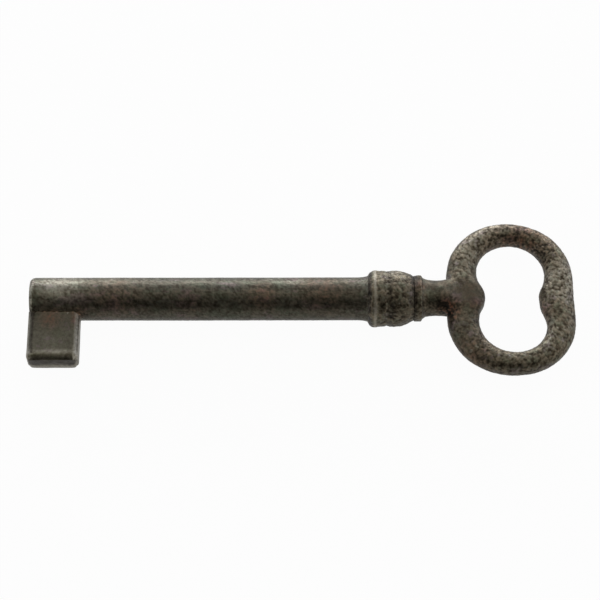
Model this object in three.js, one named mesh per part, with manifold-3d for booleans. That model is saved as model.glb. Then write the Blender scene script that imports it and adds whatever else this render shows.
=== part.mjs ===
// Hollow furniture key with a blank bit, a moulded collar and a pierced oval bow, as a three.js scene graph.
// Millimetres, +Z up. The key lies flat on its collar: its axis runs along X, from the nose at -X to the bow
// at +X, and the bit points to -Y. The origin is the bottom centre of the key's box.
//
// The key is built up and brazed. The collar's bead and flange slide onto the stem's spigot, the barrel slides
// on after them, the bit's tongue drops into the barrel's slot, and the stem's tenon goes into the bow's
// socket. Braze fills the three joints that show.
import * as THREE from "three";
import { ParametricGeometry } from "three/addons/geometries/ParametricGeometry.js";
import { mergeVertices, toCreasedNormals } from "three/addons/utils/BufferGeometryUtils.js";
import Module from "manifold-3d";

const wasm = await Module();
wasm.setup();

// Driving dimensions, in millimetres

// Barrel, a tube bored to take the lock's drill pin
const BARREL_LENGTH = 46.5;
const BARREL_RADIUS = 3.0;
const BORE_RADIUS = 2.0;
const NOSE_CHAMFER_LENGTH = 0.7;
const NOSE_CHAMFER_DEPTH = 0.35;
const MOUTH_CHAMFER = 0.15;

// Bit, a flat flag that thickens a little towards its end
const BIT_LENGTH = 7.25; // along the barrel
const BIT_REACH = 9.85; // from the barrel's axis to the bit's end
const BIT_ROOT_THICKNESS = 2.7; // where it meets the barrel
const BIT_END_THICKNESS = 3.5;
const BIT_EDGE_ROUND = 0.4;
const BIT_CORNER_RADIUS = 0.75;
const TONGUE_LENGTH = 5.2;
const TONGUE_THICKNESS = 1.6;

// Collar, two rings on the stem's spigot
const FLANGE_WIDTH = 2.55;
const FLANGE_RADIUS = 3.94;
const FLANGE_FACE_RADIUS = 3.2; // of the flat face that the barrel butts against
const FLANGE_CREST = 1.0; // from that face to the flange's widest place
const FLANGE_LAND = 0.85; // how far it stays that wide
const FRONT_GROOVE_RADIUS = 3.72; // between the flange and the bead
const BEAD_WIDTH = 3.7;
const BEAD_RADIUS = 3.94;
const BEAD_CREST = 1.35; // from the bead's front face to its widest place
const BEAD_END_RADIUS = 3.3;

// Stem, turned from one bar: spigot, shoulder, cove, neck and tenon
const SPIGOT_DEPTH = 12; // how far it reaches into the barrel
const SHOULDER_WIDTH = 0.95;
const SHOULDER_RADIUS = 3.25;
const SHOULDER_ROUND = 0.15;
const COVE_LENGTH = 1.6; // from the shoulder down to the neck
const NECK_RADIUS = 2.55;
const NECK_LENGTH = 2.0; // between the cove and the bow
const LIP_LENGTH = 2.1; // how far the neck laps over the bow's rim
const LIP_END_RADIUS = 2.0;
const TENON_RADIUS = 1.1;
const TENON_LENGTH = 2.6;

// Bow, an oval rim round an eye of two lobes
const BOW_HALF_WIDTH = 8.82; // along the key
const BOW_HALF_HEIGHT = 11.6; // across the key
const EYE_LOBE_RADIUS = 4.7;
const EYE_LOBE_OFFSET = 3.66; // from the eye's middle to each lobe's
const EYE_HALF_WAIST = 3.72; // from the eye's middle to each swell
const EYE_SHIFT = 0.2; // the eye lies this far past the rim's middle
const RIM_THICKNESS = 3.3;
const ROOT_THICKNESS = 3.7; // where the rim takes the stem
const SECTION_SQUARENESS = 2.2; // 2 makes the rim's section an ellipse

// Joints
const FIT = 0.05; // brazing clearance between any two pieces
const BRAZE_REACH = 0.42; // how far the braze wets each side of a joint
const BARREL_BRAZE_LENGTH = 1.6;
const BARREL_BRAZE_EDGE = 0.03; // its thickness where it runs out on the barrel

// Facets
const ROUND_SIDES = 36;
const BOW_STATIONS = 72;
const SECTION_SIDES = 16;
const CURVE_STEPS = 4;
const ROUND_STEPS = 3;
const CREASE_ANGLE = THREE.MathUtils.degToRad(35);
const OVERCUT = 1; // how far a cutting solid runs past what it cuts

// Places along the axis, from the nose
const flangeX = BARREL_LENGTH + FIT;
const beadX = flangeX + FLANGE_WIDTH + FIT;
const shoulderX = beadX + BEAD_WIDTH + FIT;
const coveX = shoulderX + SHOULDER_WIDTH;
const neckX = coveX + COVE_LENGTH;
const rootX = neckX + NECK_LENGTH;
const bowX = rootX + BOW_HALF_WIDTH;

// Sizes that follow from others
const spigotRadius = BORE_RADIUS - FIT;
const ringBore = spigotRadius + FIT;
const tongueX = (BIT_LENGTH - TONGUE_LENGTH) / 2;
const rimStraight = BOW_HALF_HEIGHT - BOW_HALF_WIDTH; // half the straight side of the rim
const swellRadius =
  (EYE_HALF_WAIST ** 2 + EYE_LOBE_OFFSET ** 2 - EYE_LOBE_RADIUS ** 2) / (2 * (EYE_LOBE_RADIUS - EYE_HALF_WAIST));
const swellOffset = EYE_HALF_WAIST + swellRadius; // from the eye's middle to the middle of the swell's arc

// Materials
const castIron = new THREE.MeshStandardMaterial({ color: 0x4b483f, roughness: 0.55, metalness: 0.85 });
const drawnSteel = new THREE.MeshStandardMaterial({ color: 0x4a473e, roughness: 0.42, metalness: 0.9 });
const braze = new THREE.MeshStandardMaterial({ color: 0x5a463a, roughness: 0.5, metalness: 0.85 });

// Solids and meshes

function solidFrom(geometry) {
  const bare = geometry.clone();
  bare.deleteAttribute("normal");
  bare.deleteAttribute("uv");
  const merged = mergeVertices(bare);
  return new wasm.Manifold(
    new wasm.Mesh({
      numProp: 3,
      vertProperties: merged.attributes.position.array,
      triVerts: new Uint32Array(merged.index.array),
    }),
  );
}

function meshFrom(name, solid, material) {
  const { vertProperties, triVerts } = solid.getMesh();
  const geometry = new THREE.BufferGeometry()
    .setAttribute("position", new THREE.BufferAttribute(vertProperties, 3))
    .setIndex(new THREE.BufferAttribute(triVerts, 1));
  const mesh = new THREE.Mesh(toCreasedNormals(geometry, CREASE_ANGLE), material);
  mesh.name = name;
  return mesh;
}

// A solid of revolution about X. The outline is a path of x and radius, which closes on itself or starts and
// ends on the axis, and runs towards +X along its outer side.
function turned(outline) {
  const points = outline.getPoints(CURVE_STEPS).map(({ x, y: radius }) => new THREE.Vector2(radius, x));
  return solidFrom(new THREE.LatheGeometry(points, ROUND_SIDES).rotateZ(-Math.PI / 2));
}

function rod(fromX, toX, radius) {
  return turned(new THREE.Path().moveTo(fromX, 0).lineTo(fromX, radius).lineTo(toX, radius).lineTo(toX, 0));
}

function box(lowX, highX, lowY, highY, halfZ) {
  const geometry = new THREE.BoxGeometry(highX - lowX, highY - lowY, 2 * halfZ);
  return solidFrom(geometry.translate((lowX + highX) / 2, (lowY + highY) / 2, 0));
}

// The braze in the corner between two solids. Each is given as a function of how far it is grown all round.
function fillet(first, second) {
  const corner = first(BRAZE_REACH).intersect(second(BRAZE_REACH));
  return corner.subtract(first(FIT)).subtract(second(FIT));
}

// Barrel

function barrelBody(grow = 0) {
  return rod(-grow, BARREL_LENGTH, BARREL_RADIUS + grow);
}

function barrel() {
  const wall = new THREE.Path()
    .moveTo(0, BORE_RADIUS + MOUTH_CHAMFER)
    .lineTo(0, BARREL_RADIUS - NOSE_CHAMFER_DEPTH)
    .lineTo(NOSE_CHAMFER_LENGTH, BARREL_RADIUS)
    .lineTo(BARREL_LENGTH, BARREL_RADIUS)
    .lineTo(BARREL_LENGTH, BORE_RADIUS)
    .lineTo(MOUTH_CHAMFER, BORE_RADIUS)
    .lineTo(0, BORE_RADIUS + MOUTH_CHAMFER);
  const slotEnd = tongueX + TONGUE_LENGTH + FIT;
  const slot = box(tongueX - FIT, slotEnd, -BARREL_RADIUS - OVERCUT, 0, TONGUE_THICKNESS / 2 + FIT);
  return turned(wall).subtract(slot);
}

// Bit

// The flag, from the barrel's axis out to its end
function bitPlate(grow = 0) {
  const nose = -grow;
  const heel = BIT_LENGTH + grow;
  const end = -BIT_REACH - grow;
  const corner = BIT_CORNER_RADIUS;
  const outline = new THREE.Shape()
    .moveTo(nose, 0)
    .lineTo(nose, end + corner)
    .absarc(nose + corner, end + corner, corner, Math.PI, Math.PI * 1.5)
    .absarc(heel - corner, end + corner, corner, Math.PI * 1.5, Math.PI * 2)
    .lineTo(heel, 0);
  const plate = new THREE.ExtrudeGeometry(outline, {
    depth: 1,
    bevelThickness: BIT_EDGE_ROUND,
    bevelSize: BIT_EDGE_ROUND,
    bevelOffset: -BIT_EDGE_ROUND,
    bevelSegments: ROUND_STEPS,
    curveSegments: CURVE_STEPS,
  });
  // The extrusion is one millimetre thick between its rounded edges, from z = 0 to 1. Both faces now move to
  // the taper's half thickness, which depends on how far out they are.
  const slope = (BIT_END_THICKNESS - BIT_ROOT_THICKNESS) / 2 / (BIT_REACH - BARREL_RADIUS);
  const position = plate.attributes.position;
  for (let i = 0; i < position.count; i++) {
    const half = BIT_ROOT_THICKNESS / 2 + slope * (-position.getY(i) - BARREL_RADIUS) + grow;
    const fromMiddle = position.getZ(i) - 0.5;
    position.setZ(i, fromMiddle + Math.sign(fromMiddle) * (half - BIT_EDGE_ROUND - 0.5));
  }
  return solidFrom(plate);
}

function bit() {
  const tongue = box(tongueX, tongueX + TONGUE_LENGTH, -BARREL_RADIUS - OVERCUT, 0, TONGUE_THICKNESS / 2);
  const seat = rod(-OVERCUT, BARREL_LENGTH, BARREL_RADIUS + FIT);
  return bitPlate()
    .subtract(seat)
    .add(tongue.subtract(rod(-OVERCUT, BARREL_LENGTH, BORE_RADIUS)));
}

// The fillet runs along both faces and round the heel. At the nose the bit is flush with the barrel.
function bitBraze() {
  const behindNose = box(0, BARREL_LENGTH, -BIT_REACH, 0, BARREL_RADIUS);
  return fillet(barrelBody, bitPlate).intersect(behindNose);
}

// Collar

function collarFlange() {
  const landEnd = FLANGE_CREST + FLANGE_LAND;
  const ring = new THREE.Path()
    .moveTo(0, ringBore)
    .lineTo(0, FLANGE_FACE_RADIUS)
    .quadraticCurveTo(FLANGE_CREST * 0.75, FLANGE_FACE_RADIUS, FLANGE_CREST, FLANGE_RADIUS)
    .lineTo(landEnd, FLANGE_RADIUS)
    .quadraticCurveTo(FLANGE_WIDTH, FLANGE_RADIUS, FLANGE_WIDTH, FRONT_GROOVE_RADIUS)
    .lineTo(FLANGE_WIDTH, ringBore)
    .lineTo(0, ringBore);
  return turned(ring).translate(flangeX, 0, 0);
}

function collarBead() {
  const ring = new THREE.Path()
    .moveTo(0, ringBore)
    .lineTo(0, FRONT_GROOVE_RADIUS)
    .quadraticCurveTo(BEAD_CREST / 3, BEAD_RADIUS, BEAD_CREST, BEAD_RADIUS)
    .quadraticCurveTo((BEAD_CREST + 2 * BEAD_WIDTH) / 3, BEAD_RADIUS, BEAD_WIDTH, BEAD_END_RADIUS)
    .lineTo(BEAD_WIDTH, ringBore)
    .lineTo(0, ringBore);
  return turned(ring).translate(beadX, 0, 0);
}

function barrelBraze() {
  const inner = BARREL_RADIUS + FIT;
  const edge = inner + BARREL_BRAZE_EDGE;
  const start = BARREL_LENGTH - BARREL_BRAZE_LENGTH;
  const ring = new THREE.Path()
    .moveTo(start, inner)
    .lineTo(start, edge)
    .quadraticCurveTo(BARREL_LENGTH - BARREL_BRAZE_LENGTH / 4, edge, BARREL_LENGTH, FLANGE_FACE_RADIUS)
    .lineTo(BARREL_LENGTH, inner)
    .lineTo(start, inner);
  return turned(ring);
}

// Stem

// The neck and its lip over the bow's rim, before the rim is cut out of it
function neckBody(grow = 0) {
  const radius = NECK_RADIUS + grow;
  const lipEnd = rootX + LIP_LENGTH + grow;
  const neck = new THREE.Path()
    .moveTo(neckX, 0)
    .lineTo(neckX, radius)
    .lineTo(rootX, radius)
    .quadraticCurveTo(lipEnd, radius, lipEnd, LIP_END_RADIUS + grow)
    .lineTo(lipEnd, 0);
  return turned(neck);
}

function stem() {
  const crown = SHOULDER_RADIUS - SHOULDER_ROUND;
  const spigotEnd = BARREL_LENGTH - SPIGOT_DEPTH;
  const front = new THREE.Path()
    .moveTo(spigotEnd, 0)
    .lineTo(spigotEnd, spigotRadius)
    .lineTo(shoulderX, spigotRadius)
    .lineTo(shoulderX, crown)
    .quadraticCurveTo(shoulderX, SHOULDER_RADIUS, shoulderX + SHOULDER_ROUND, SHOULDER_RADIUS)
    .lineTo(coveX - SHOULDER_ROUND, SHOULDER_RADIUS)
    .quadraticCurveTo(coveX, SHOULDER_RADIUS, coveX, crown)
    .quadraticCurveTo(coveX + COVE_LENGTH / 4, NECK_RADIUS, neckX, NECK_RADIUS)
    .lineTo(neckX, 0);
  const tenon = rod(neckX, rootX + TENON_LENGTH, TENON_RADIUS);
  return turned(front).add(neckBody()).subtract(bowRim(FIT)).add(tenon);
}

// Bow

// How far the rim's outer side is from the rim's middle, in a direction given as an angle from +X
function rimDistance(angle) {
  const alongX = Math.abs(Math.cos(angle));
  const alongY = Math.abs(Math.sin(angle));
  if (BOW_HALF_WIDTH * alongY <= rimStraight * alongX) return BOW_HALF_WIDTH / alongX;
  return rimStraight * alongY + Math.sqrt(BOW_HALF_WIDTH ** 2 - (rimStraight * alongX) ** 2);
}

// How far the eye's edge is from the eye's middle. A swell turns into a lobe where their two arcs touch.
function eyeDistance(angle) {
  const alongX = Math.abs(Math.cos(angle));
  const alongY = Math.abs(Math.sin(angle));
  const onSwell = alongY * swellOffset * EYE_LOBE_RADIUS < alongX * EYE_LOBE_OFFSET * swellRadius;
  if (onSwell) return swellOffset * alongX - Math.sqrt(swellRadius ** 2 - (swellOffset * alongY) ** 2);
  return EYE_LOBE_OFFSET * alongY + Math.sqrt(EYE_LOBE_RADIUS ** 2 - (EYE_LOBE_OFFSET * alongX) ** 2);
}

// The rim is thicker near its root, in the quarter turn that faces the stem
function rimThickness(angle) {
  const nearRoot = THREE.MathUtils.smoothstep(-Math.cos(angle), Math.SQRT1_2, 1);
  return THREE.MathUtils.lerp(RIM_THICKNESS, ROOT_THICKNESS, nearRoot);
}

function squared(value) {
  return Math.sign(value) * Math.abs(value) ** (2 / SECTION_SQUARENESS);
}

// The rim as a closed ring of closed sections, each of which spans from the eye's edge to the outer side
function bowRim(grow = 0) {
  const surface = (u, v, target) => {
    const angle = (u % 1) * 2 * Math.PI;
    const turn = (v % 1) * 2 * Math.PI;
    const outer = rimDistance(angle) + grow;
    const inner = eyeDistance(angle) - grow;
    const outward = (1 + squared(Math.cos(turn))) / 2;
    const distance = THREE.MathUtils.lerp(inner, outer, outward);
    const middleX = bowX + THREE.MathUtils.lerp(EYE_SHIFT, 0, outward);
    const height = (rimThickness(angle) / 2 + grow) * squared(Math.sin(turn));
    target.set(middleX + distance * Math.cos(angle), distance * Math.sin(angle), height);
  };
  return solidFrom(new ParametricGeometry(surface, BOW_STATIONS, SECTION_SIDES));
}

function bow() {
  const socket = rod(rootX - OVERCUT, rootX + TENON_LENGTH + FIT, TENON_RADIUS + FIT);
  return bowRim().subtract(socket);
}

function bowBraze() {
  return fillet(neckBody, bowRim);
}

// Assembly

const key = new THREE.Group();
key.add(
  meshFrom("barrel", barrel(), drawnSteel),
  meshFrom("bit", bit(), castIron),
  meshFrom("bit_braze", bitBraze(), braze),
  meshFrom("barrel_braze", barrelBraze(), braze),
  meshFrom("collar_flange", collarFlange(), castIron),
  meshFrom("collar_bead", collarBead(), castIron),
  meshFrom("stem", stem(), castIron),
  meshFrom("bow_braze", bowBraze(), braze),
  meshFrom("bow", bow(), castIron),
);

// The bottom centre of the key's box goes to the origin
const bounds = new THREE.Box3().setFromObject(key);
const middle = bounds.getCenter(new THREE.Vector3());
key.position.set(-middle.x, -middle.y, -bounds.min.z);

export default new THREE.Group().add(key);
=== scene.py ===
"""Looks of the hollow furniture key: a grainy cast bow and collar, a worn barrel and bit, and dark braze."""
import math

import bmesh
import bpy
import numpy as np
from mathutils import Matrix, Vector, noise


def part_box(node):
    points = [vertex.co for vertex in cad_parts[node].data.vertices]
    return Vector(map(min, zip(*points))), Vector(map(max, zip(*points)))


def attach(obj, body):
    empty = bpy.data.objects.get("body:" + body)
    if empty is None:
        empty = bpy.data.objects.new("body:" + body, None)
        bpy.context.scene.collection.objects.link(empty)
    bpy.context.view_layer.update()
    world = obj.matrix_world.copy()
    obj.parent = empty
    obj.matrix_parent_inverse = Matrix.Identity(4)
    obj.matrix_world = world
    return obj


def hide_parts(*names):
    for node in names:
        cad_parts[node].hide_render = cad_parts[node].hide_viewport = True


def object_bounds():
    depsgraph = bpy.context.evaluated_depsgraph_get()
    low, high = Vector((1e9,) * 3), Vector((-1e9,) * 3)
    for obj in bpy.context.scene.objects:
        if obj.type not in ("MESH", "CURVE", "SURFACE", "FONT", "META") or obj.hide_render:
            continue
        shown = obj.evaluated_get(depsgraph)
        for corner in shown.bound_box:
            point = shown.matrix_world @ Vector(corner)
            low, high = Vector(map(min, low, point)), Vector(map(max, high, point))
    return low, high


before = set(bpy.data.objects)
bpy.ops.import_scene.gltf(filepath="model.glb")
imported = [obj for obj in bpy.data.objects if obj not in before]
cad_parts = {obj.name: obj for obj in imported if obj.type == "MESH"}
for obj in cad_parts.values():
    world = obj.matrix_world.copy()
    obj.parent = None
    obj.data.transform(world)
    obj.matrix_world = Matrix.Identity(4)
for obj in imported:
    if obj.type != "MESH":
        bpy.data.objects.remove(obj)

CAD_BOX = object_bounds()
MM = 0.001

# Places below are in millimetres, along the key from its nose and across it from its axis.
BARREL_LOW, BARREL_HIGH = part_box("barrel")
ORIGIN = Vector((BARREL_LOW.x, (BARREL_LOW.y + BARREL_HIGH.y) / 2, (BARREL_LOW.z + BARREL_HIGH.z) / 2))


def extent(name):
    """A CAD node's lowest and highest corners, in millimetres from the nose and the axis."""
    low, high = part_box(name)
    return (low - ORIGIN) / MM, (high - ORIGIN) / MM


# Wear, and the brazing clearance that is closed here

BARREL_WEAR = 0.04
NOSE_WEAR = 0.1
BEAD_WEAR = 0.08
SHOULDER_WEAR = 0.07
BIT_TRAIL_WEAR = 0.17
CLEARANCE = 0.05

# Sizes that the solids give, less the wear

BARREL_LENGTH = extent("barrel")[1].x
BARREL_RADIUS = extent("barrel")[1].y - BARREL_WEAR
FLANGE_X = extent("collar_flange")[0].x
FLANGE_RADIUS = extent("collar_flange")[1].y
BEAD_X = extent("collar_bead")[0].x
BEAD_END_X = extent("collar_bead")[1].x + CLEARANCE
BEAD_RADIUS = extent("collar_bead")[1].y - BEAD_WEAR
SHOULDER_RADIUS = extent("stem")[1].y - SHOULDER_WEAR
SPIGOT_END_X = extent("stem")[0].x
ROOT_X = extent("bow")[0].x
BOW_HALF_WIDTH = (extent("bow")[1].x - ROOT_X) / 2
BOW_HALF_HEIGHT = extent("bow")[1].y
ROOT_HALF_THICKNESS = extent("bow")[1].z
BOW_X = ROOT_X + BOW_HALF_WIDTH
BIT_LENGTH = extent("bit")[1].x
BIT_REACH = -extent("bit")[0].y
BIT_TRAIL_X = BIT_LENGTH - BIT_TRAIL_WEAR
BIT_END_HALF_THICKNESS = extent("bit")[1].z

# Sizes that the boxes don't show

BORE_RADIUS = 2.0
NOSE_CHAMFER_LENGTH = 0.7
NOSE_CHAMFER_DEPTH = 0.35
FLANGE_FACE_RADIUS = 3.15
RIDGE_START_X = FLANGE_X + 0.6
RIDGE_END_X = FLANGE_X + 1.4
LAND_END_X = FLANGE_X + 1.85
FRONT_GROOVE_RADIUS = 3.72
BEAD_CREST = 1.2  # how far behind the bead's front
BEAD_END_RADIUS = 3.1
SHOULDER_WIDTH = 1.1
SHOULDER_ROUND = 0.15
COVE_LENGTH = 1.6
NECK_RADIUS = 2.45
LIP_LENGTH = 2.4  # how far the neck's end reaches over the rim
LIP_START = 0.7  # how far before the rim it starts to flatten
LIP_FLAT = 1.5  # how far over the rim it is flat
LIP_SQUARENESS = 3.4  # 2 would be round
LIP_SINK = 0.2  # how far its tip sinks into the rim
LIP_SINK_START = 0.7
CAP_RADIUS = 0.05  # of the flat ends of a turned solid
BIT_ROOT_HALF_THICKNESS = 1.45
BIT_EDGE_ROUND = 0.2
# The lead is the bit's side at the nose, and the trail its side towards the bow
BIT_LEAD_WIDTH = 1.0
BIT_LEAD_DEPTH = 0.5
BIT_TRAIL_WIDTH = 0.95
BIT_TRAIL_DEPTH = 0.5
BIT_END_WIDTH = 1.1
BIT_END_DEPTH = 0.42
BIT_FOOT_START = 0.6  # how far below its middle the bit's end starts to draw in
BIT_FOOT_DEPTH = 0.12
BIT_CORNER_RADIUS = 0.75
BIT_CUTS = 64  # across each side of the bit's mesh
EYE_LOBE_RADIUS = 4.7
EYE_LOBE_OFFSET = 3.66
EYE_HALF_WAIST = 3.72
EYE_SHIFT = 0.2  # how far the eye lies off the rim's middle, away from the neck
RIM_HALF_THICKNESS = 1.65
RIM_SECTION_RADIUS = 2.1
SECTION_SQUARENESS = 2.2  # 2 would be an ellipse
PAD_RISE = 0.12
PAD_HALF_WIDTH = 2.4
PAD_FADE = 1.0  # how far the pad fades on each side of that width
PAD_FLATNESS = 0.4
EYE_LEAN = 0.11  # how far the eye's right swell reaches down, in radians
EYE_LEAN_MIDDLE = 0.45  # where it does, in radians below the key's axis
EYE_LEAN_NARROWNESS = 30
BOW_TOP_WEAR = 0.01  # how much flatter the rim's top is than its bottom
BOW_SKEW = 0.025  # the casting's slight lean, as a share of the way across
BOW_SQUARENESS = 0.01  # how much squarer the casting is than its drawn arcs
BARREL_BRAZE_LENGTH = 1.6
FILLET_VOXEL = 0.1
FILLET_SINK = 0.02

RIDGE_X = FLANGE_X + 1.0
COVE_X = BEAD_END_X + SHOULDER_WIDTH
CAST_SHIFT = 0.09  # how far the casting lies off the barrel's axis behind the bead's crest
CAST_SHIFT_LENGTH = 2.0  # how far behind the crest it is there in full

# Spacing of the mesh points

FINE = 0.11
MEDIUM = 0.16


def clamped(value):
    """A value kept between 0 and 1."""
    return min(1.0, max(0.0, value))


def eased(share):
    """A share from 0 to 1 that leaves both ends gently."""
    return share * share * (3 - 2 * share)


# Meshes

def make_object(name, mesh):
    """A new object for a mesh that is in millimetres from the nose and the axis."""
    mesh.transform(Matrix.Translation(ORIGIN) @ Matrix.Scale(MM, 4))
    piece = bpy.data.objects.new(name, mesh)
    bpy.context.scene.collection.objects.link(piece)
    return piece


def mesh_from_rings(rings, closed):
    """A mesh of rings of points. Closed rings run round to the first again, and others end in flat caps."""
    count, sides = rings.shape[:2]
    index = np.arange(count * sides).reshape(count, sides)
    following = np.roll(index, -1, axis=0) if closed else index[1:]
    leading = index if closed else index[:-1]
    corners = (leading, np.roll(leading, -1, axis=1), np.roll(following, -1, axis=1), following)
    faces = np.stack(corners, axis=-1).reshape(-1, 4).tolist()
    if not closed:
        faces += [index[0, ::-1].tolist(), index[-1].tolist()]
    mesh = bpy.data.meshes.new("rings")
    mesh.from_pydata(rings.reshape(-1, 3), [], faces)
    mesh.polygons.foreach_set("use_smooth", [True] * len(mesh.polygons))
    shell = bmesh.new()
    shell.from_mesh(mesh)
    bmesh.ops.recalc_face_normals(shell, faces=shell.faces)
    shell.to_mesh(mesh)
    shell.free()
    mesh.set_sharp_from_angle(angle=math.radians(60))
    return mesh


def traced(stretches, spacing):
    """Points along an outline. Each stretch is a line of two points or a curve of two ends and a control."""
    points = []
    for stretch in stretches:
        ends = np.array(stretch, float)
        length = np.linalg.norm(np.diff(ends, axis=0), axis=1).sum()
        t = np.linspace(0, 1, max(2, math.ceil(length / spacing) + 1))[:-1, None]
        if len(ends) == 2:
            points.append(ends[0] * (1 - t) + ends[1] * t)
        else:
            points.append(ends[0] * (1 - t) ** 2 + 2 * ends[1] * t * (1 - t) + ends[2] * t**2)
    points.append(np.array(stretches[-1][-1], float)[None])
    return np.concatenate(points)


def turned(stretches, spacing):
    """A mesh turned about the key's axis from an outline of (x, radius)."""
    outline = traced(stretches, spacing)
    closed = bool(np.allclose(outline[0], outline[-1]))
    if closed:
        outline = outline[:-1]
    sides = 4 * math.ceil(2 * math.pi * outline[:, 1].max() / spacing / 4)
    angles = np.arange(sides) * 2 * math.pi / sides
    rings = np.empty((len(outline), sides, 3))
    rings[:, :, 0] = outline[:, :1]
    rings[:, :, 1] = outline[:, 1:] * np.cos(angles)
    rings[:, :, 2] = outline[:, 1:] * np.sin(angles)
    return mesh_from_rings(rings, closed)


# Spots of wear and painted highlight, of rust, of dirt and painted shade, and of smoothness as the photograph
# shows them: a middle, a radius and an amount

WEAR_AND_HIGHLIGHT_SPOTS = [
    ((4.5, 2.0, 2.2), 4.8, 0.65),
    ((12, 2.2, 1.8), 3.0, 0.6),
    ((22.5, 2.4, 1.5), 1.6, 0.5),
    ((32, -0.8, 2.9), 2.4, 0.5),
    ((37, 2.2, 1.8), 2.6, 0.6),
    # Wear and painted highlight on the rim's right limb
    ((74.2, 2.6, 0.7), 4.3, 1.2),
    ((71.3, -7.2, 0.9), 3.4, 0.7),
    ((74.3, -4.4, 0.6), 2.2, 0.5),
    ((71.2, -3.9, 1.0), 1.1, 0.5),
    # Wear and painted highlight on the rim's upper side: both upper corners, then the upper part of its left
    # limb
    ((71.8, 9.6, 0.5), 2.4, 0.7),
    ((61.2, 9.4, 0.5), 2.4, 0.7),
    ((60.5, 5.5, 0.8), 3.2, 0.9),
    ((66, -8.4, 0.8), 2.4, 0.3),
    ((4.0, 0.4, 2.9), 3.8, 0.6),
    ((3.8, -8.2, 1.5), 2.2, 0.5),
    ((73.4, 0.9, 1.5), 2.2, 0.5),
    # Painted highlight along the rim's lit top, with wear
    ((65.5, 11.2, 0.6), 3.2, 1.2),
    ((50.5, 2.6, 2.6), 1.8, 0.9),
    # Painted highlight where the neck's lit top edge runs into the rim
    ((59.0, 2.6, 1.2), 1.2, 0.6),
    ((6.9, -8.9, 1.4), 0.7, 0.8),
    ((0.4, -8.9, 1.3), 0.7, 0.8),
]
RUSTY = [
    ((32, -0.9, 2.9), 2.0, 0.45),
    ((40.5, 0.2, 2.9), 3.2, 0.4),
    ((12, -1.2, 2.7), 3.5, 0.3),
    ((22, -1.8, 2.4), 2.5, 0.2),
    ((57.8, -2.3, 1.4), 1.3, 1.6),
    ((61.4, -1.6, 1.8), 1.2, 0.35),
    ((60.2, 0.6, 1.9), 2.0, 0.15),
    ((67, 7.8, 0.3), 3.4, 0.4),
    ((61, -8.6, 0.3), 2.6, 0.35),
    ((71, -2, 0.3), 1.6, 0.3),
    ((3.1, -3.6, 1.4), 1.4, 0.6),
    ((6.9, -3.4, 1.4), 1.2, 0.6),
    ((70, 9, 1.0), 3.0, 0.2),
    ((53.5, 0.8, 3.2), 0.9, 0.6),
]
DIRT_AND_SHADE_SPOTS = [
    # Painted shade on the bit's end face, near both its corners
    ((1.1, -10.0, 0.3), 0.9, 0.7),
    ((6.1, -10.0, 0.3), 0.9, 0.8),
    ((60.4, 0.2, 1.9), 2.6, 0.42),
    ((55.5, 1.4, 2.0), 1.7, 0.42),
    # Dirt and painted shade in the crease under the neck's joint with the rim
    ((56.8, -1.9, 1.6), 1.1, 1.2),
    ((57.8, -2.8, 1.0), 0.9, 0.9),
    # Dirt and painted shade in the groove behind the bead
    ((53.0, -1.5, 3.0), 0.8, 0.8),
    ((53.1, 0.8, 3.1), 0.7, 0.9),
    ((53.0, 2.4, 2.2), 0.6, 0.7),
    # Darker at both sides of the bit's root
    ((0.6, -2.6, 1.5), 0.9, 0.8),
    ((7.6, -3.0, 0.8), 0.7, 0.8),
    # Painted shade inside the top of the rim, then on the outer side of its bottom
    ((66.5, 9.6, 0.9), 2.6, 0.45),
    ((66.5, -10.2, 0.9), 2.8, 0.12),
    # Painted shadow at the inner edge of the rim's upper right
    ((70.3, 6.4, 1.1), 1.8, 0.7),
    ((71.2, 2.8, 1.0), 1.4, 0.4),
]
SMOOTH = [  # where an amount is negative, the skin is rougher
    ((70.3, 6.4, 1.1), 1.8, -0.4),
    ((57.6, -2.2, 1.0), 1.6, -0.9),
    ((59.0, 2.6, 1.2), 1.2, -0.35),
    ((58.6, -6.5, 1.0), 3.6, 0.35),
    ((60.6, 0, 1.8), 2.8, 0.75),
    ((59.5, 0, -1.8), 2.8, 0.9),
    ((55.2, 1.6, 1.6), 2.6, 0.9),
]


def amount(point, spots):
    """How much of a list of spots a point has, at most 1."""
    total = 0.0
    for middle, radius, share in spots:
        total += share * near((point - Vector(middle)).length, 0, radius)
    return min(1.0, total)


# Relief of the surfaces

def wave(point, cell, seed):
    """Smooth noise from -1 to 1 whose swells are about a cell across. Each seed has a pattern of its own."""
    return noise.noise(point / cell + Vector((seed * 17.3, seed * 5.1, seed * 9.7)))


def pit(point, cell, size, seed):
    """0 on the level surface, falling to -1 in the middle of scattered round pits."""
    distance = noise.voronoi(point / cell + Vector((seed * 3.7, seed * 11.9, seed * 7.3)))[0][0]
    return min(0.0, distance / size - 1)


def near(value, middle, width):
    """1 at a middle, falling to 0 over about a width on both sides."""
    return math.exp(-(((value - middle) / width) ** 2))


def cast_relief(point):
    """Sand-cast skin: height in millimetres, grain, wear and painted highlight, and dirt and painted shade.
    Smooth where the neck was dressed.
    """
    rough = 1 - amount(point, SMOOTH)
    grain = rough * (0.55 * wave(point, 0.52, 1) + 0.6 * wave(point, 0.27, 2))
    pits = rough * pit(point, 0.9, 0.24, 3)
    swell = wave(point, 2.4, 4)
    return 0.055 * grain + 0.04 * pits + 0.06 * swell, grain + 0.3 * pits, 0.0, 0.0


def braze_relief(point):
    """The braze's skin, which carries the grain of the skins beside it and no swells of its own."""
    grain = cast_relief(point)[1]
    return 0.02 * grain, grain, 0.0, 0.0


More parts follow.
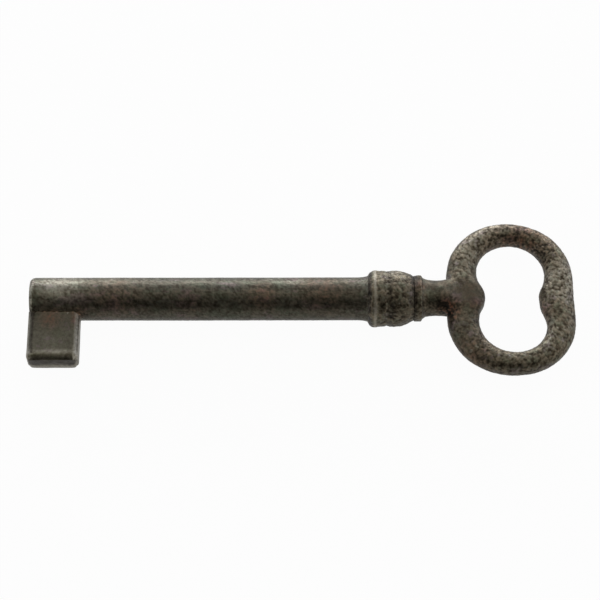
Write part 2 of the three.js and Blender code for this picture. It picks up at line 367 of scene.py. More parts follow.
def collar_relief(point):
    """The collar's skin, rougher than the bow's: rubbed on its ridge, with a painted highlight on its last
    edge, and darker at its front and in its grooves from dirt, with painted shade in the groove behind the
    bead.
    """
    height, grain = cast_relief(point)[:2]
    lump = wave(point, 1.1, 13)
    lumpy = 1 + 0.8 * near(point.x, BEAD_END_X + 0.6, 0.7)
    height = lumpy * (1.4 * height + 0.05 * lump)
    grain = 0.95 * grain + 0.35 * lump
    # Rubbed on the ridge; the last edge before the cove gets a painted highlight
    rubbed_and_highlit = max(near(point.x, RIDGE_X, 0.22), 0.2 * near(point.x, COVE_X - 0.2, 0.3))
    wear_and_highlight = 1.6 * rubbed_and_highlit + 0.15 * (point.x < COVE_X)
    front_dirt = 0.7 * near(point.x, FLANGE_X + 0.25, 0.25)
    bead_dirt = 0.55 * near(point.x, BEAD_X + 0.5, 0.5)
    # Dirt and painted shade in the groove behind the bead
    groove_shade_and_dirt = 0.8 * near(point.x, BEAD_END_X, 0.35)
    return (1 - 0.8 * rubbed_and_highlit) * height, (1 - rubbed_and_highlit) * grain, wear_and_highlight, max(front_dirt, bead_dirt, groove_shade_and_dirt)


def barrel_relief(point):
    """Filed and worn skin: close grain, streaks along the tube, and few shallow pits."""
    streak = wave(Vector((point.x / 6, point.y, point.z)), 0.35, 5)
    grain = 0.8 * wave(point, 0.26, 6) + 0.2 * streak + 0.35 * wave(point, 0.6, 14)
    pits = pit(point, 1.1, 0.2, 7)
    swell = wave(point, 4.0, 8)
    return 0.02 * grain + 0.022 * pits + 0.02 * swell, grain + pits, near(point.x, 0.3, 0.3), 0.0


def bit_relief(point):
    """Filed skin, nearly flat: paler along its side bevels and just inside its end, with painted highlights
    and some wear, and along its foot, with a painted reflection of the floor; dirty beside its front bevel,
    and with painted shade high on its end face."""
    inside = point.y + BIT_REACH
    corner = near(inside, 0.5, 0.9) * (near(point.x, 0.9, 0.9) + near(point.x, BIT_LENGTH - 1.2, 0.9))
    grain = (1 + 1.6 * corner) * (0.6 * wave(point, 0.4, 9) + 0.4 * wave(point, 0.2, 10))
    pits = pit(point, 1.4, 0.14, 11)
    swell = wave(point, 2.4, 12)
    height = min(0.0, 0.006 * grain + 0.015 * pits + 0.03 * swell - 0.02)
    trail = clamped(2 - (BIT_TRAIL_X - point.x) / 0.4)
    lead = clamped(2 - point.x / 0.2)
    band = near(inside, BIT_END_WIDTH, 0.3) * (point.z > 0)
    foot = clamped((-point.z - 0.1) / 0.6) * (inside < 0.6)
    # Painted highlights along the bevels and the band inside the end, with a little wear, and a painted
    # reflection of the floor along the foot
    wear_and_highlight = 0.2 + max(1.3 * trail, 1.4 * lead, 0.9 * band, 1.2 * foot)
    front_dirt = 0.75 * near(point.x, 0.7, 0.22) * (inside > 0.9)
    # Painted shade high on the end face
    end_shade = 1.3 * near(point.z, 0.7, 0.6) * (inside < 0.15)
    return height, 0.8 * grain + pits, wear_and_highlight, max(front_dirt, end_shade)


def roughened(mesh, relief, radial=False):
    """Moves a mesh's points by the relief, along their normals or straight from the axis, so that rings stay
    closed against each other, and no further than the solids' box. Keeps grain, wear and painted highlight,
    rust, and dirt and painted shade."""
    count = len(mesh.vertices)
    places = np.empty(count * 3, np.float32)
    normals = np.empty(count * 3, np.float32)
    mesh.vertices.foreach_get("co", places)
    mesh.vertices.foreach_get("normal", normals)
    places = places.reshape(-1, 3)
    normals = normals.reshape(-1, 3)
    if radial:
        normals = places * (0, 1, 1)
        normals /= np.maximum(np.linalg.norm(normals, axis=1, keepdims=True), BORE_RADIUS)
    points = [Vector(place) for place in places.tolist()]
    values = np.array([relief(point) for point in points], np.float32)
    fields = {
        "grain": values[:, 1],
        "wear_and_highlight": values[:, 2] + np.array([amount(point, WEAR_AND_HIGHLIGHT_SPOTS) for point in points], np.float32),
        "rust": np.array([amount(point, RUSTY) for point in points], np.float32),
        "dirt_and_shade": values[:, 3] + np.array([amount(point, DIRT_AND_SHADE_SPOTS) for point in points], np.float32),
    }
    low, high = (np.array((corner - ORIGIN) / MM) for corner in CAD_BOX)
    places = np.clip(places + normals * values[:, :1], low, high).astype(np.float32)
    mesh.vertices.foreach_set("co", places.ravel())
    for name, value in fields.items():
        attribute = mesh.attributes.new(name, "FLOAT", "POINT")
        attribute.data.foreach_set("value", value)
    mesh.update()
    return mesh


# Shapes of the pieces

def barrel_mesh():
    """A bored tube with a worn chamfer round its nose."""
    nose = NOSE_WEAR
    nose_radius = BARREL_RADIUS - NOSE_CHAMFER_DEPTH
    bore_start = (nose + 0.12, BORE_RADIUS)
    bore_edge = (nose, BORE_RADIUS + 0.12)
    nose_edge = (nose, nose_radius - 0.15)
    chamfer_start = (nose + 0.15, nose_radius + 0.12)
    round_start = (NOSE_CHAMFER_LENGTH * 0.7, BARREL_RADIUS - NOSE_CHAMFER_DEPTH * 0.15)
    round_end = (NOSE_CHAMFER_LENGTH * 1.4, BARREL_RADIUS)
    return turned(
        [
            [bore_start, (nose, BORE_RADIUS), bore_edge],
            [bore_edge, nose_edge],
            [nose_edge, (nose, nose_radius), chamfer_start],
            [chamfer_start, round_start],
            [round_start, (NOSE_CHAMFER_LENGTH, BARREL_RADIUS), round_end],
            [round_end, (BARREL_LENGTH, BARREL_RADIUS)],
            [(BARREL_LENGTH, BARREL_RADIUS), (BARREL_LENGTH, BORE_RADIUS)],
            [(BARREL_LENGTH, BORE_RADIUS), bore_start],
        ],
        MEDIUM,
    )


def bit_half(y):
    """Half of the bit's thickness at a distance from the axis."""
    outward = (-y - BARREL_RADIUS) / (BIT_REACH - BARREL_RADIUS)
    return BIT_ROOT_HALF_THICKNESS + (BIT_END_HALF_THICKNESS - BIT_ROOT_HALF_THICKNESS) * outward


def corner_rounded(x, y):
    """Draws a point of the bit's outline in to the round at its two outer corners."""
    radius = BIT_CORNER_RADIUS
    middle_x = min(max(x, radius), BIT_TRAIL_X - radius)
    across, along = x - middle_x, y + BIT_REACH - radius
    if across == 0 or along >= 0:
        return x, y
    shrink = max(abs(across), -along) / math.hypot(across, along)
    return middle_x + across * shrink, radius - BIT_REACH + along * shrink


def bit_mesh():
    """A rounded plate that tapers towards its root, with soft bevels along both sides of its faces."""
    inner_y = -(BORE_RADIUS + 0.25)
    low = np.array([0, -BIT_REACH, -BIT_END_HALF_THICKNESS])
    high = np.array([BIT_TRAIL_X, inner_y, BIT_END_HALF_THICKNESS])
    plate = bmesh.new()
    bmesh.ops.create_cube(plate, size=2)
    bmesh.ops.subdivide_edges(plate, edges=plate.edges, cuts=BIT_CUTS, use_grid_fill=True)
    for vertex in plate.verts:
        place = low + (np.array(vertex.co) + 1) / 2 * (high - low)
        core = np.clip(place, low + BIT_EDGE_ROUND, high - BIT_EDGE_ROUND)
        out = place - core
        x, y, z = core + out / np.linalg.norm(out) * BIT_EDGE_ROUND
        lead = max(0.0, 1 - x / BIT_LEAD_WIDTH) ** 2.4 * BIT_LEAD_DEPTH
        trail = max(0.0, 1 - (high[0] - x) / BIT_TRAIL_WIDTH) ** 2 * BIT_TRAIL_DEPTH
        end = max(0.0, 1 - (y + BIT_REACH) / BIT_END_WIDTH) ** 2 * BIT_END_DEPTH * (z > 0)
        y += max(0.0, -z - BIT_FOOT_START) ** 2 * BIT_FOOT_DEPTH * (y < -BIT_REACH + 1)
        half = bit_half(y) - lead - trail - end
        vertex.co = (*corner_rounded(x, y), z / BIT_END_HALF_THICKNESS * half)
    for face in plate.faces:
        face.smooth = True
    mesh = bpy.data.meshes.new("bit")
    plate.to_mesh(mesh)
    plate.free()
    return mesh


def flange_mesh():
    """A steep rounded front, a crisp worn ridge, then a land and a soft groove."""
    land = FLANGE_RADIUS - 0.1
    brow = (FLANGE_X + 0.22, land - 0.12)
    return turned(
        [
            [(FLANGE_X, BORE_RADIUS), (FLANGE_X, FLANGE_FACE_RADIUS)],
            [(FLANGE_X, FLANGE_FACE_RADIUS), brow, (RIDGE_START_X, land)],
            [(RIDGE_START_X, land), (RIDGE_X - 0.15, FLANGE_RADIUS), (RIDGE_X, FLANGE_RADIUS)],
            [(RIDGE_X, FLANGE_RADIUS), (RIDGE_END_X - 0.2, FLANGE_RADIUS), (RIDGE_END_X, land)],
            [(RIDGE_END_X, land), (LAND_END_X, land)],
            [(LAND_END_X, land), (BEAD_X - 0.2, land), (BEAD_X, FRONT_GROOVE_RADIUS)],
            [(BEAD_X, FRONT_GROOVE_RADIUS), (BEAD_X, BORE_RADIUS)],
            [(BEAD_X, BORE_RADIUS), (FLANGE_X, BORE_RADIUS)],
        ],
        FINE,
    )


def shifted(place):
    """Moves a point of the collar or the neck to where the casting has it."""
    share = clamped((place.x - BEAD_X - BEAD_CREST) / CAST_SHIFT_LENGTH)
    return place + Vector((0, CAST_SHIFT * share, 0))


def bead_mesh():
    """A round ring that falls further behind its crest than before it."""
    crest = BEAD_X + BEAD_CREST
    fall = (BEAD_X + BEAD_CREST + BEAD_END_X) / 2
    mesh = turned(
        [
            [(BEAD_X, BORE_RADIUS), (BEAD_X, FRONT_GROOVE_RADIUS)],
            [(BEAD_X, FRONT_GROOVE_RADIUS), (BEAD_X + 0.6, BEAD_RADIUS), (crest, BEAD_RADIUS)],
            [(crest, BEAD_RADIUS), (fall, BEAD_RADIUS), (BEAD_END_X, BEAD_END_RADIUS)],
            [(BEAD_END_X, BEAD_END_RADIUS), (BEAD_END_X, BORE_RADIUS)],
            [(BEAD_END_X, BORE_RADIUS), (BEAD_X, BORE_RADIUS)],
        ],
        FINE,
    )
    for vertex in mesh.vertices:
        vertex.co = shifted(vertex.co)
    return mesh


def stem_mesh():
    """Spigot, shoulder, cove and neck. The neck's end laps over the rim and sinks into it."""
    shoulder = BEAD_END_X
    cove = COVE_X
    neck = cove + COVE_LENGTH
    lip = ROOT_X + LIP_LENGTH
    crown = SHOULDER_RADIUS - SHOULDER_ROUND
    mesh = turned(
        [
            [(SPIGOT_END_X, CAP_RADIUS), (SPIGOT_END_X, BORE_RADIUS)],
            [(SPIGOT_END_X, BORE_RADIUS), (shoulder, BORE_RADIUS)],
            [(shoulder, BORE_RADIUS), (shoulder, crown)],
            [(shoulder, crown), (shoulder, SHOULDER_RADIUS), (shoulder + 0.3, SHOULDER_RADIUS)],
            [(shoulder + 0.3, SHOULDER_RADIUS), (cove - 0.3, SHOULDER_RADIUS)],
            [(cove - 0.3, SHOULDER_RADIUS), (cove, SHOULDER_RADIUS), (cove + 0.05, crown - 0.1)],
            [(cove + 0.05, crown - 0.1), (cove + COVE_LENGTH / 4, NECK_RADIUS), (neck, NECK_RADIUS)],
            [(neck, NECK_RADIUS), (lip, NECK_RADIUS)],
            [(lip, NECK_RADIUS), (lip, CAP_RADIUS)],
        ],
        FINE,
    )
    for vertex in mesh.vertices:
        vertex.co = shifted(lapped(vertex.co))
    return mesh


def lapped(place):
    """Draws a round of the neck's end down to the rim's faces, and squares it to give it two flat faces."""
    past = place.x - ROOT_X
    share = eased(clamped((past + LIP_START) / (LIP_FLAT + LIP_START)))
    if share == 0:
        return place
    sunk = LIP_SINK * max(0.0, past - LIP_SINK_START) / (LIP_LENGTH - LIP_SINK_START)
    height = ROOT_HALF_THICKNESS + PAD_RISE - sunk
    power = 2 / (2 + (LIP_SQUARENESS - 2) * share)
    across = math.copysign(abs(place.y / NECK_RADIUS) ** power, place.y)
    rise = math.copysign(abs(place.z / NECK_RADIUS) ** power, place.z)
    return Vector((place.x, across * NECK_RADIUS, rise * (NECK_RADIUS * (1 - share) + height * share)))


def barrel_braze_mesh():
    """A thin fillet that rises along the barrel to the flange's face."""
    start = BARREL_LENGTH - BARREL_BRAZE_LENGTH
    knee = BARREL_LENGTH - BARREL_BRAZE_LENGTH / 4
    end = FLANGE_X + 0.05
    inner = BARREL_RADIUS - 0.2
    return turned(
        [
            [(start, inner), (start, BARREL_RADIUS - 0.005)],
            [(start, BARREL_RADIUS - 0.005), (knee, BARREL_RADIUS), (end, FLANGE_FACE_RADIUS + 0.03)],
            [(end, FLANGE_FACE_RADIUS + 0.03), (end, inner)],
            [(end, inner), (start, inner)],
        ],
        FINE,
    )


def rim_distance(angle):
    """From the rim's middle to its outer side, in a direction given as an angle from +X."""
    along_x, along_y = abs(math.cos(angle)), abs(math.sin(angle))
    straight = BOW_HALF_HEIGHT - BOW_HALF_WIDTH
    if BOW_HALF_WIDTH * along_y <= straight * along_x:
        distance = BOW_HALF_WIDTH / along_x
    else:
        distance = straight * along_y + math.sqrt(BOW_HALF_WIDTH**2 - (straight * along_x) ** 2)
    return distance * (1 - BOW_SQUARENESS * math.cos(4 * angle))


def eye_distance(angle):
    """From the eye's middle to its edge. A swell turns into a lobe where their two arcs touch."""
    along_x, along_y = abs(math.cos(angle)), abs(math.sin(angle))
    lobe, offset = EYE_LOBE_RADIUS, EYE_LOBE_OFFSET
    swell = (EYE_HALF_WAIST**2 + offset**2 - lobe**2) / (2 * (lobe - EYE_HALF_WAIST))
    swell_middle = EYE_HALF_WAIST + swell
    if along_y * swell_middle * lobe < along_x * offset * swell:
        return swell_middle * along_x - math.sqrt(swell**2 - (swell_middle * along_y) ** 2)
    return offset * along_y + math.sqrt(lobe**2 - (offset * along_x) ** 2)


def squared(value):
    return math.copysign(abs(value) ** (2 / SECTION_SQUARENESS), value)


def bow_mesh():
    """The rim, swept round the eye from sections that each span from the eye's edge to the outer side. At its
    root its two faces swell to a flat pad, flush with the end of the neck."""
    stations = math.ceil(2 * math.pi * (BOW_HALF_WIDTH + BOW_HALF_HEIGHT) / 2 / FINE)
    sides = math.ceil(2 * math.pi * RIM_SECTION_RADIUS / FINE)
    turns = np.arange(sides) * 2 * math.pi / sides
    outward = np.array([(1 + squared(math.cos(turn))) / 2 for turn in turns])
    rise = np.array([squared(math.sin(turn)) for turn in turns])
    rings = np.empty((stations, sides, 3))
    for station in range(stations):
        angle = station * 2 * math.pi / stations
        near_root = eased(clamped((-math.cos(angle) - math.sqrt(0.5)) / (1 - math.sqrt(0.5))))
        half = RIM_HALF_THICKNESS + (ROOT_HALF_THICKNESS - RIM_HALF_THICKNESS) * near_root
        swell = max(0.0, math.cos(angle + EYE_LEAN_MIDDLE)) ** EYE_LEAN_NARROWNESS
        eye = eye_distance(angle + EYE_LEAN * swell)
        rim = rim_distance(angle) * (1 - BOW_TOP_WEAR * max(0.0, math.sin(angle)))
        distance = eye * (1 - outward) + rim * outward
        rings[station, :, 1] = distance * math.sin(angle)
        rings[station, :, 0] = BOW_X + EYE_SHIFT * (1 - outward) + distance * math.cos(angle)
        lean = 1 - outward * max(0.0, -math.cos(angle))
        rings[station, :, 0] -= BOW_SKEW * rings[station, :, 1] * lean
        within = PAD_HALF_WIDTH + PAD_FADE - np.abs(rings[station, :, 1])
        pad = eased(near_root * np.clip(within / (2 * PAD_FADE), 0, 1))
        flattened = np.abs(rise) ** (1 - PAD_FLATNESS * pad)
        rings[station, :, 2] = np.sign(rise) * (half + PAD_RISE * pad) * flattened
    return mesh_from_rings(rings, closed=True)


def smoothed_together(first, second, passes):
    """Two meshes as one skin, smoothed over and over, which fills the corner between them."""
    joined = bmesh.new()
    joined.from_mesh(first)
    joined.from_mesh(second)
    mesh = bpy.data.meshes.new("fillet")
    joined.to_mesh(mesh)
    joined.free()
    helper = bpy.data.objects.new("fillet_helper", mesh)
    bpy.context.scene.collection.objects.link(helper)
    remesh = helper.modifiers.new("remesh", "REMESH")
    remesh.mode = "VOXEL"
    remesh.voxel_size = FILLET_VOXEL
    smooth = helper.modifiers.new("smooth", "SMOOTH")
    smooth.factor = 0.5
    smooth.iterations = passes
    evaluated = helper.evaluated_get(bpy.context.evaluated_depsgraph_get())
    skin = bpy.data.meshes.new_from_object(evaluated)
    bpy.data.objects.remove(helper)
    return skin


def cut_to_box(solid, low, high):
    """Cuts a solid along the six sides of a box, and closes it again."""
    for axis in range(3):
        for corner, sign in ((low, -1), (high, 1)):
            normal = [0, 0, 0]
            normal[axis] = sign
            parts = solid.verts[:] + solid.edges[:] + solid.faces[:]
            result = bmesh.ops.bisect_plane(
                solid, geom=parts, dist=1e-5, plane_co=corner, plane_no=normal, clear_outer=True
            )
            rim = [edge for edge in result["geom_cut"] if isinstance(edge, bmesh.types.BMEdge)]
            bmesh.ops.holes_fill(solid, edges=rim)


def fillet_mesh(first, second, low, high, passes, cover=0.0):
    """The braze in the corner between two meshes. Their joined skin is sunk a little, so that only the filled
    corner shows, and cut to a box. A cover raises its middle over the meshes."""
    mesh = smoothed_together(first, second, passes)
    solid = bmesh.new()
    solid.from_mesh(mesh)
    solid.normal_update()
    for vertex in solid.verts:
        x, y = vertex.co.xy
        inside = min(x - low[0], high[0] - x, y - low[1], high[1] - y)
        vertex.co -= vertex.normal * (FILLET_SINK - cover * clamped(inside))
    cut_to_box(solid, low, high)
    for face in solid.faces:
        face.smooth = True
    solid.to_mesh(mesh)
    solid.free()
    return mesh


def bow_braze_mesh(bow, stem):
    """The braze where the neck laps over the rim."""
    low = (ROOT_X - 1.4, -3.9, -3)
    high = (ROOT_X + 2.9, 3.9, 3)
    return fillet_mesh(bow, stem, low, high, passes=26, cover=0.05)


def bit_braze_mesh(barrel, bit):
    """The braze along both faces of the bit and round its heel."""
    low = (0.1, -4.2, -2.9)
    high = (BIT_LENGTH + 0.8, -1.2, 2.9)
    return fillet_mesh(barrel, bit, low, high, passes=4)


# Materials

def new_material(name):
    material = bpy.data.materials.new(name)
    material.use_nodes = True
    tree = material.node_tree
    return material, tree, tree.nodes["Principled BSDF"]


def node(tree, kind, inputs=None, **settings):
    """A new node with its settings, and its inputs set to values or linked to other nodes' outputs."""
    new = tree.nodes.new(kind)
    for key, value in settings.items():
        setattr(new, key, value)
    for key, value in (inputs or {}).items():
        if isinstance(value, bpy.types.NodeSocket):
            tree.links.new(value, new.inputs[key])
        else:
            new.inputs[key].default_value = value
    return new


def ramp(tree, factor, stops):
    """A colour ramp of (position, colour) stops."""
    new = node(tree, "ShaderNodeValToRGB", {"Fac": factor})
    elements = new.color_ramp.elements
    while len(elements) < len(stops):
        elements.new(0.5)
    for element, (position, colour) in zip(elements, stops):
        element.position = position
        element.color = (*colour, 1)
    return new.outputs["Color"]


def mottle(tree, place, cell, detail, **inputs):
    """Noise in the object's own space, with a cell in millimetres."""
    values = {"Vector": place, "Scale": 1 / (cell * MM), "Detail": detail, **inputs}
    return node(tree, "ShaderNodeTexNoise", values).outputs["Fac"]


def mix(tree, factor, first, second, blend="MIX"):
    new = tree.nodes.new("ShaderNodeMix")
    new.data_type = "RGBA"
    new.blend_type = blend
    for socket, value in ((new.inputs[0], factor), (new.inputs[6], first), (new.inputs[7], second)):
        if isinstance(value, bpy.types.NodeSocket):
            tree.links.new(value, socket)
        elif isinstance(value, tuple):
            socket.default_value = (*value, 1)
        else:
            socket.default_value = value
    return new.outputs[2]


def ranged(tree, value, low, high, to_low, to_high):
    """A value mapped from one range to another, and kept inside it."""
    inputs = {0: value, 1: low, 2: high, 3: to_low, 4: to_high}
    return node(tree, "ShaderNodeMapRange", inputs).outputs[0]


def kept(tree, name):
    """A value that the mesh keeps for its material."""
    return node(tree, "ShaderNodeAttribute", attribute_name=name).outputs["Fac"]


def times(tree, first, second):
    return node(tree, "ShaderNodeMath", {0: first, 1: second}, operation="MULTIPLY").outputs[0]


def times_plus(tree, first, second, extra):
    terms = {0: first, 1: second, 2: extra}
    return node(tree, "ShaderNodeMath", terms, operation="MULTIPLY_ADD").outputs[0]


# Colours of the patina, the dirt and painted shade in its pits and grooves, the rust, and the bare metal that
# also paints highlights

DARK = (0.02, 0.015, 0.01)
UMBER = (0.06, 0.042, 0.022)
OLIVE = (0.068, 0.065, 0.045)
BROWN = (0.086, 0.068, 0.048)
LILAC = (0.084, 0.069, 0.061)
MOSS = (0.061, 0.064, 0.046)
TAN = (0.073, 0.064, 0.049)
RUST = (0.115, 0.051, 0.031)
BARE_AND_HIGHLIGHT = (0.21, 0.195, 0.165)
METALLIC = 0.85


def iron(name, green, brown, pits, crests, edges, roughness, bump, stretch=1.0):
    """Patinated iron in patches of green, brown and lilac, umber in its pits and paler on its crests and
    edges, with rust, dirt and painted shade in spots. The paler crests, edges and places of wear also carry
    painted highlights, and the darker pits painted shade. Pits, crests, edges and bump say how strongly each
    of them shows."""
    material, tree, shader = new_material(name)
    place = node(tree, "ShaderNodeTexCoord").outputs["Object"]
    along = node(tree, "ShaderNodeMapping", {"Vector": place, "Scale": (1 / stretch, 1, 1)}).outputs[0]
    grain = kept(tree, "grain")
    wear_and_highlight = kept(tree, "wear_and_highlight")
    edge = node(tree, "ShaderNodeNewGeometry").outputs["Pointiness"]
    patches = mottle(tree, along, 1.8, detail=6.0, Roughness=0.65)
    scuffs = mottle(tree, place, 0.9, detail=6.0, Distortion=0.6)
    specks = mottle(tree, place, 0.15, detail=3.0)
    colour = ramp(tree, patches, [(0.4, green), (0.5, brown), (0.55, green), (0.61, LILAC)])
    rust = times(tree, kept(tree, "rust"), ranged(tree, scuffs, 0.35, 0.6, 0.3, 1))
    colour = mix(tree, times(tree, rust, ranged(tree, grain, -0.3, 0.3, 0.5, 1.3)), colour, RUST)
    # Paler towards bare metal at wear and on edges, partly wear and partly painted highlight
    colour = mix(tree, ranged(tree, wear_and_highlight, 0.6, 2.2, 0, 0.8), colour, BARE_AND_HIGHLIGHT)
    colour = mix(tree, ranged(tree, edge, 0.515, 0.58, 0, edges), colour, BARE_AND_HIGHLIGHT)
    colour = mix(tree, ranged(tree, grain, -0.45, 0.05, 0.8 * pits, 0), colour, UMBER)
    dirt_and_shade = times(tree, kept(tree, "dirt_and_shade"), ranged(tree, grain, -0.4, 0.4, 1.4, 0.6))
    # Darker with dirt and with painted shade
    colour = mix(tree, ranged(tree, dirt_and_shade, 0.1, 0.9, 0, 0.85), colour, DARK)
    # Lighter on crests and darker in pits: the grain's own tone, made stronger with painted relief shading;
    # lighter too at wear and painted highlights
    tone = ranged(tree, grain, -0.45, 0.45, 1 - 0.65 * pits, 1 + 0.6 * crests)
    tone = times(tree, tone, ranged(tree, wear_and_highlight, 0, 1, 0.9, 1.45))
    tone = times(tree, tone, ranged(tree, specks, 0.3, 0.7, 0.85, 1.15))
    tone = times(tree, tone, ranged(tree, scuffs, 0.3, 0.7, 0.9, 1.1))
    tree.links.new(mix(tree, 1.0, colour, tone, "MULTIPLY"), shader.inputs["Base Color"])
    rough = ranged(tree, scuffs, 0.35, 0.65, roughness - 0.07, roughness + 0.1)
    tree.links.new(rough, shader.inputs["Roughness"])
    height = mottle(tree, place, 0.11, detail=4.0)
    relief = node(tree, "ShaderNodeBump", {"Strength": bump, "Distance": 0.03 * MM, "Height": height})
    tree.links.new(relief.outputs["Normal"], shader.inputs["Normal"])
    shader.inputs["Metallic"].default_value = METALLIC
    return material


def grainy_iron():
    return iron("grainy_iron", OLIVE, BROWN, pits=1.0, crests=1.5, edges=0.25, roughness=0.48, bump=0.9)


def barrel_iron():
    return iron(
        "barrel_iron", MOSS, TAN, pits=0.6, crests=0.95, edges=0.3, roughness=0.43, bump=0.7, stretch=2.0
    )


def bit_iron():
    # Its strong paling on edges is largely painted edge highlight
    return iron("bit_iron", OLIVE, TAN, pits=0.3, crests=0.4, edges=0.8, roughness=0.43, bump=0.35)


def dark_braze():
    return iron("braze", OLIVE, BROWN, pits=1.0, crests=1.5, edges=0.2, roughness=0.48, bump=0.8)


# Dressing

def dress(name, mesh, nodes, material):
    """A finished piece in place of CAD nodes, with the record's slot and a material."""
    piece = make_object(name, mesh)
    piece.data.materials.clear()
    piece.data.materials.append(material)
    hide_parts(*nodes)
    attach(piece, "root")


def build_key():
    cast, tube, flag, filler = grainy_iron(), barrel_iron(), bit_iron(), dark_braze()
    barrel = roughened(barrel_mesh(), barrel_relief, radial=True)
    bit = roughened(bit_mesh(), bit_relief)
    bow = roughened(bow_mesh(), cast_relief)
    stem = roughened(stem_mesh(), collar_relief, radial=True)
    flange = roughened(flange_mesh(), collar_relief, radial=True)
    bead = roughened(bead_mesh(), collar_relief, radial=True)
    barrel_braze = roughened(barrel_braze_mesh(), barrel_relief, radial=True)
    bow_braze = roughened(bow_braze_mesh(bow, stem), braze_relief)
    bit_braze = roughened(bit_braze_mesh(barrel, bit), braze_relief)
    dress("barrel_skin", barrel, ["barrel"], tube)
    dress("bit_skin", bit, ["bit"], flag)
    dress("bit_braze_skin", bit_braze, ["bit_braze"], filler)
    # This thin fillet has darkened to the barrel's own colour, so it has the barrel's material
    dress("barrel_braze_skin", barrel_braze, ["barrel_braze"], tube)
    dress("flange_skin", flange, ["collar_flange"], cast)
    dress("bead_skin", bead, ["collar_bead"], cast)
    dress("stem_skin", stem, ["stem"], cast)
    dress("bow_braze_skin", bow_braze, ["bow_braze"], filler)
    dress("bow_skin", bow, ["bow"], cast)


# Studio

FLOOR_SIZE = 3.0
FLOOR_WHITE = (0.7, 0.7, 0.7, 1)
GLOW_SEEN = 0.96  # how much of the floor that the camera sees is lit by itself
GLOW_MIRRORED = 0.67  # how much of the floor that the metal mirrors is
OPENING = (0, -0.75, 0.66)  # the way to the tent's opening, which the camera looks in by
TENT_STRENGTH = 1.2
TENT_RIGHT_EXTRA = 0.18  # how much stronger it is straight to the right
TENT_SIDES_EXTRA = 0.4  # and how much more at both sides
SIDE_TINT = (0.98, 1.0, 1.13)
CAMERA_ELEVATION = 63.5
CAMERA_AZIMUTH = 0.36
CAMERA_ROLL = 0.4
CAMERA_DISTANCE = 320 * MM
VIEW_SPAN = 82.79 * MM  # how much of the key's plane the frame takes in
VIEW_OFFSET = (-0.3 * MM, -0.14 * MM)  # from the key's axis to the frame's middle


def floor():
    """A white floor. The camera and the metal see it mostly by its own light, so its shadow is faint."""
    material, tree, shader = new_material("floor_white")
    tree.nodes.remove(shader)
    white = node(tree, "ShaderNodeBsdfDiffuse", {"Color": FLOOR_WHITE}).outputs[0]
    glow = node(tree, "ShaderNodeEmission", {"Color": (1, 1, 1, 1), "Strength": 1.0}).outputs[0]
    path = node(tree, "ShaderNodeLightPath").outputs
    rays = {0: path["Is Glossy Ray"], 1: path["Is Transmission Ray"]}
    mirrored = node(tree, "ShaderNodeMath", rays, operation="MAXIMUM").outputs[0]
    direct = times(tree, path["Is Camera Ray"], GLOW_SEEN)
    share = times_plus(tree, mirrored, GLOW_MIRRORED, direct)
    both = node(tree, "ShaderNodeMixShader", {0: share, 1: white, 2: glow}).outputs[0]
    tree.links.new(both, tree.nodes["Material Output"].inputs["Surface"])
    mesh = bpy.data.meshes.new("floor")
    half = FLOOR_SIZE / 2
    corners = [(-half, -half, 0), (half, -half, 0), (half, half, 0), (-half, half, 0)]
    mesh.from_pydata(corners, [], [(0, 1, 2, 3)])
    mesh.materials.append(material)
    plane = bpy.data.objects.new("floor", mesh)
    bpy.context.scene.collection.objects.link(plane)


def softbox(name, place, width, depth, power):
    """A rectangular lamp that faces the key."""
    light = bpy.data.lights.new(name, "AREA")
    light.shape = "RECTANGLE"
    light.size = width
    light.size_y = depth
    light.energy = power
    lamp = bpy.data.objects.new(name, light)
    lamp.location = place
    lamp.rotation_euler = (-Vector(place)).to_track_quat("-Z", "Y").to_euler()
    bpy.context.scene.collection.objects.link(lamp)


def warmed(level, place):
    """A tone of the tent, cool at its back and warm towards the opening that the camera looks in by."""
    warmth = clamped((place + 0.3) / 1.1)
    return level, level * (1.07 - 0.12 * warmth), level * (1.15 - 0.38 * warmth)


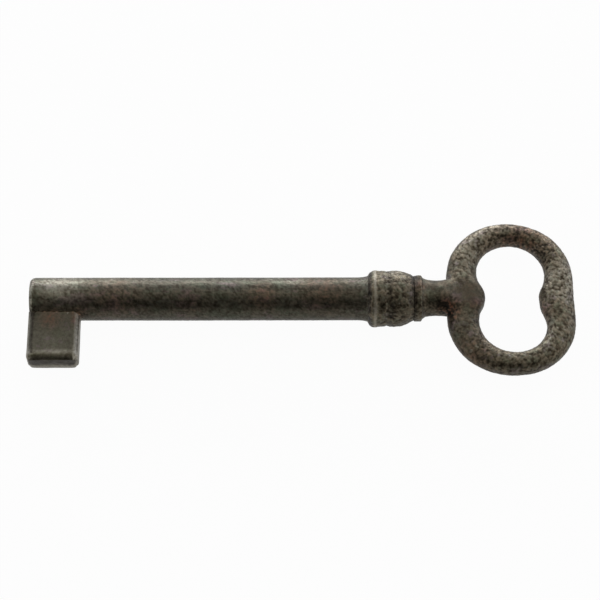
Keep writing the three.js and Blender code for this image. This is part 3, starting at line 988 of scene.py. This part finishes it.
def surroundings():
    """A white tent round the key. It is brighter low behind it and at both sides, most of all on the right, a
    little cooler at the sides, and dark where the camera looks in."""
    world = bpy.data.worlds.new("tent")
    world.use_nodes = True
    tree = world.node_tree
    direction = node(tree, "ShaderNodeTexCoord").outputs["Generated"]
    opening = node(tree, "ShaderNodeVectorMath", {0: direction, 1: OPENING}, operation="DOT_PRODUCT")
    right = node(tree, "ShaderNodeSeparateXYZ", {0: direction}).outputs["X"]
    sideways = node(tree, "ShaderNodeMath", {0: right}, operation="ABSOLUTE").outputs[0]
    strength = times_plus(tree, right, TENT_RIGHT_EXTRA, TENT_STRENGTH)
    strength = times_plus(tree, sideways, TENT_SIDES_EXTRA, strength)
    # Each place from the tent's back, -1, to its opening, 1, with the tone there
    tones = [
        (-0.85, 1.4), (-0.6, 1.2), (-0.35, 0.56), (-0.15, 0.48), (0.05, 0.46), (0.3, 0.64), (0.5, 0.83),
        (0.68, 0.66), (0.85, 0),
    ]
    stops = [((place + 1) / 2, warmed(level, place)) for place, level in tones]
    tone = ramp(tree, ranged(tree, opening.outputs["Value"], -1, 1, 0, 1), stops)
    tone = mix(tree, sideways, tone, SIDE_TINT, "MULTIPLY")
    lit = tree.nodes["Background"]
    tree.links.new(tone, lit.inputs["Color"])
    tree.links.new(strength, lit.inputs["Strength"])
    white = node(tree, "ShaderNodeBackground", {"Color": (1, 1, 1, 1), "Strength": 1.0}).outputs[0]
    seen = node(tree, "ShaderNodeLightPath").outputs["Is Camera Ray"]
    both = node(tree, "ShaderNodeMixShader", {0: seen, 1: lit.outputs[0], 2: white}).outputs[0]
    tree.links.new(both, tree.nodes["World Output"].inputs["Surface"])
    bpy.context.scene.world = world


def camera():
    elevation = math.radians(CAMERA_ELEVATION)
    azimuth = math.radians(CAMERA_AZIMUTH)
    level = math.cos(elevation)
    away = Vector((math.sin(azimuth) * level, -math.cos(azimuth) * level, math.sin(elevation)))
    right = Vector((math.cos(azimuth), math.sin(azimuth), 0))
    up = away.cross(right)
    centre = Vector((0, 0, ORIGIN.z)) + right * VIEW_OFFSET[0] + up * VIEW_OFFSET[1]
    lens = bpy.data.cameras.new("camera")
    lens.angle = 2 * math.atan(VIEW_SPAN / 2 / CAMERA_DISTANCE)
    lens.clip_start = 0.01
    viewer = bpy.data.objects.new("camera", lens)
    turn = Matrix((right, up, away)).transposed() @ Matrix.Rotation(math.radians(-CAMERA_ROLL), 3, "Z")
    viewer.matrix_world = Matrix.Translation(centre + away * CAMERA_DISTANCE) @ turn.to_4x4()
    bpy.context.scene.collection.objects.link(viewer)
    bpy.context.scene.camera = viewer


def studio():
    floor()
    softbox("back_light", place=(0, 0.5, 0.12), width=0.8, depth=0.16, power=2.6)
    surroundings()
    camera()
    bpy.context.scene.view_settings.view_transform = "Standard"


build_key()
studio()
